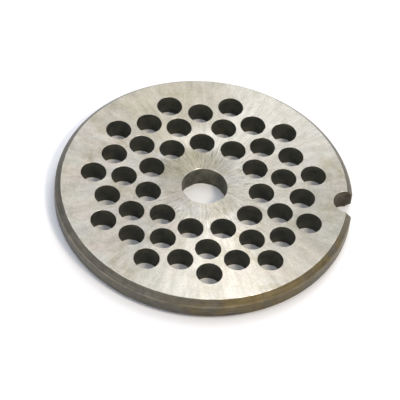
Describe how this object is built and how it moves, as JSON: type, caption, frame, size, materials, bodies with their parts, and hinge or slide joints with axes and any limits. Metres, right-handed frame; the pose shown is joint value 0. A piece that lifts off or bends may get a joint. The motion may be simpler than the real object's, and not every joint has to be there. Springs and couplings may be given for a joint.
{
  "type": "meat grinder plate",
  "caption": "Flat steel hole plate for a meat grinder: a disc with a bevelled rim, a centre bore, rings of round feed holes and a key notch, through which the knife presses the meat.",
  "frame": {"origin": "on the bore's axis, at the underside that the plate lies on", "axes": "+Z along the bore's axis towards the bevelled knife face, +X out through the middle of the key notch"},
  "size_m": [0.0698, 0.07, 0.0055],
  "materials": {
    "ground_steel": "surface-ground carbon steel face, with a dark turned rim and dark drilled walls"
  },
  "bodies": {
    "root": {"grinder_plate": "ground_steel"}
  },
  "joints": []
}
